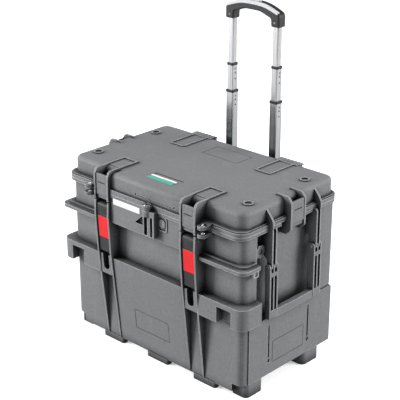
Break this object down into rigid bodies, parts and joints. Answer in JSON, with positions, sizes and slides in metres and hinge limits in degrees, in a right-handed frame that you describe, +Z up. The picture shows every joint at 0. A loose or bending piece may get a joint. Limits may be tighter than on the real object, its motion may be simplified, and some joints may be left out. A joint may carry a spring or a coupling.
{
  "type": "rolling tool case",
  "caption": "Grey moulded rolling tool case with hinged lid, black and red front latches, drop side handles, telescopic pull handle and rear wheels.",
  "frame": {"origin": "on the floor under the middle of the footprint", "axes": "+Z up, front towards -Y, +X to the right seen from the front"},
  "size_m": [0.632, 0.435, 0.868],
  "materials": {
    "case_plastic": "fine-textured moulding",
    "dark_plastic": "satin moulding",
    "red_plastic": "smooth satin",
    "mint_plate": "plain coloured plate",
    "white_plate": "plain white",
    "steel": "bright zinc plated",
    "tube_metal": "polished anodised",
    "seal_rubber": "soft matt",
    "tyre_rubber": "moulded tread",
    "grip_grey": "satin silver grey"
  },
  "bodies": {
    "case": {"tub": "case_plastic", "tub_eyelets": "steel", "corner_staples": "steel", "valve_seat": "dark_plastic", "trolley_housing": "dark_plastic", "guide_tubes": "tube_metal", "guide_collars": "dark_plastic", "housing_screws": "steel", "wheel_brackets": "dark_plastic", "axles": "steel", "front_plate": "white_plate", "lever_pins": "steel", "handle_pins": "steel", "hinge_pins": "steel"},
    "lid": {"lid": "case_plastic", "gasket": "seal_rubber", "badge_plate": "mint_plate", "badge_strip": "white_plate", "lid_eyelets": "steel", "rocker_pins": "steel"},
    "stage1_r": {"stage1_tube_r": "tube_metal", "stage1_collar_r": "dark_plastic"},
    "stage1_l": {"stage1_tube_l": "tube_metal", "stage1_collar_l": "dark_plastic"},
    "stage2_r": {"stage2_tube_r": "tube_metal", "stage2_collar_r": "dark_plastic"},
    "stage2_l": {"stage2_tube_l": "tube_metal", "stage2_collar_l": "dark_plastic"},
    "grip": {"grip_tubes": "tube_metal", "grip_shell": "dark_plastic", "grip_insert": "grip_grey", "grip_screws": "steel"},
    "wheel_r": {"tyre_r": "tyre_rubber", "hub_r": "dark_plastic"},
    "wheel_l": {"tyre_l": "tyre_rubber", "hub_l": "dark_plastic"},
    "rocker_front_r_body": {"rocker_front_r": "case_plastic"},
    "rocker_front_l_body": {"rocker_front_l": "case_plastic"},
    "rocker_side_r_body": {"rocker_side_r": "case_plastic"},
    "rocker_side_l_body": {"rocker_side_l": "case_plastic"},
    "lever_r_body": {"lever_r": "dark_plastic"},
    "lever_l_body": {"lever_l": "dark_plastic"},
    "button_r_body": {"button_r": "red_plastic"},
    "button_l_body": {"button_l": "red_plastic"},
    "side_handle_r_body": {"side_handle_r": "case_plastic"},
    "side_handle_l_body": {"side_handle_l": "case_plastic"},
    "valve_knob_body": {"valve_knob": "case_plastic"},
    "lock_barrel_body": {"lock_barrel": "steel"},
    "grip_button_body": {"grip_button": "grip_grey"}
  },
  "joints": [
    {"name": "lid_hinge", "type": "hinge", "parent": "case", "child": "lid", "pos_m": [0, 0.178, 0.479], "axis": [-1, 0, 0], "range_deg": [0, 84]},
    {"name": "rocker_front_r_turn", "type": "hinge", "parent": "lid", "child": "rocker_front_r_body", "pos_m": [0.148, -0.1925, 0.43], "axis": [-1, 0, 0], "range_deg": [0, 12]},
    {"name": "rocker_side_r_turn", "type": "hinge", "parent": "lid", "child": "rocker_side_r_body", "pos_m": [0.302, 0.0025, 0.43], "axis": [0, -1, 0], "range_deg": [0, 12]},
    {"name": "lever_r_turn", "type": "hinge", "parent": "case", "child": "lever_r_body", "pos_m": [0.148, -0.1905, 0.388], "axis": [-1, 0, 0], "range_deg": [0, 80]},
    {"name": "button_r_press", "type": "slide", "parent": "lever_r_body", "child": "button_r_body", "axis": [0, 1, 0], "range_m": [0, 0.003], "stiffness_N_per_m": 600},
    {"name": "side_handle_r_swing", "type": "hinge", "parent": "case", "child": "side_handle_r_body", "pos_m": [0.303, 0.0015, 0.33], "axis": [0, -1, 0], "range_deg": [0, 90]},
    {"name": "rocker_front_l_turn", "type": "hinge", "parent": "lid", "child": "rocker_front_l_body", "pos_m": [-0.148, -0.1925, 0.43], "axis": [-1, 0, 0], "range_deg": [0, 12]},
    {"name": "rocker_side_l_turn", "type": "hinge", "parent": "lid", "child": "rocker_side_l_body", "pos_m": [-0.302, 0.0025, 0.43], "axis": [0, 1, 0], "range_deg": [0, 12]},
    {"name": "lever_l_turn", "type": "hinge", "parent": "case", "child": "lever_l_body", "pos_m": [-0.148, -0.1905, 0.388], "axis": [-1, 0, 0], "range_deg": [0, 80]},
    {"name": "button_l_press", "type": "slide", "parent": "lever_l_body", "child": "button_l_body", "axis": [0, 1, 0], "range_m": [0, 0.003], "stiffness_N_per_m": 600},
    {"name": "side_handle_l_swing", "type": "hinge", "parent": "case", "child": "side_handle_l_body", "pos_m": [-0.303, 0.0015, 0.33], "axis": [0, 1, 0], "range_deg": [0, 90]},
    {"name": "valve_turn", "type": "hinge", "parent": "case", "child": "valve_knob_body", "pos_m": [0.285, -0.108, 0.372], "axis": [1, 0, 0], "range_deg": [0, 180]},
    {"name": "lock_turn", "type": "hinge", "parent": "case", "child": "lock_barrel_body", "pos_m": [0.06, -0.1945, 0.402], "axis": [0, 1, 0], "range_deg": [0, 90]},
    {"name": "grip_slide", "type": "slide", "parent": "case", "child": "grip", "axis": [0, 0, 1], "range_m": [-0.438, 0]},
    {"name": "stage1_r_slide", "type": "slide", "parent": "case", "child": "stage1_r", "axis": [0, 0, 1], "range_m": [-0.255, 0]},
    {"name": "stage2_r_slide", "type": "slide", "parent": "case", "child": "stage2_r", "axis": [0, 0, 1], "range_m": [-0.339, 0]},
    {"name": "stage1_l_slide", "type": "slide", "parent": "case", "child": "stage1_l", "axis": [0, 0, 1], "range_m": [-0.255, 0]},
    {"name": "stage2_l_slide", "type": "slide", "parent": "case", "child": "stage2_l", "axis": [0, 0, 1], "range_m": [-0.321, 0]},
    {"name": "grip_button_press", "type": "slide", "parent": "grip", "child": "grip_button_body", "axis": [0, 0, -1], "range_m": [0, 0.003], "stiffness_N_per_m": 600},
    {"name": "wheel_r_spin", "type": "hinge", "parent": "case", "child": "wheel_r", "pos_m": [0.172, 0.1775, 0.04], "axis": [1, 0, 0], "continuous": true},
    {"name": "wheel_l_spin", "type": "hinge", "parent": "case", "child": "wheel_l", "pos_m": [-0.172, 0.1775, 0.04], "axis": [1, 0, 0], "continuous": true}
  ],
  "couplings": [
    {"joint": "stage1_r_slide", "follows": "grip_slide", "ratio": 0.582},
    {"joint": "stage2_r_slide", "follows": "grip_slide", "ratio": 0.7735},
    {"joint": "stage1_l_slide", "follows": "grip_slide", "ratio": 0.582},
    {"joint": "stage2_l_slide", "follows": "grip_slide", "ratio": 0.7325}
  ]
}
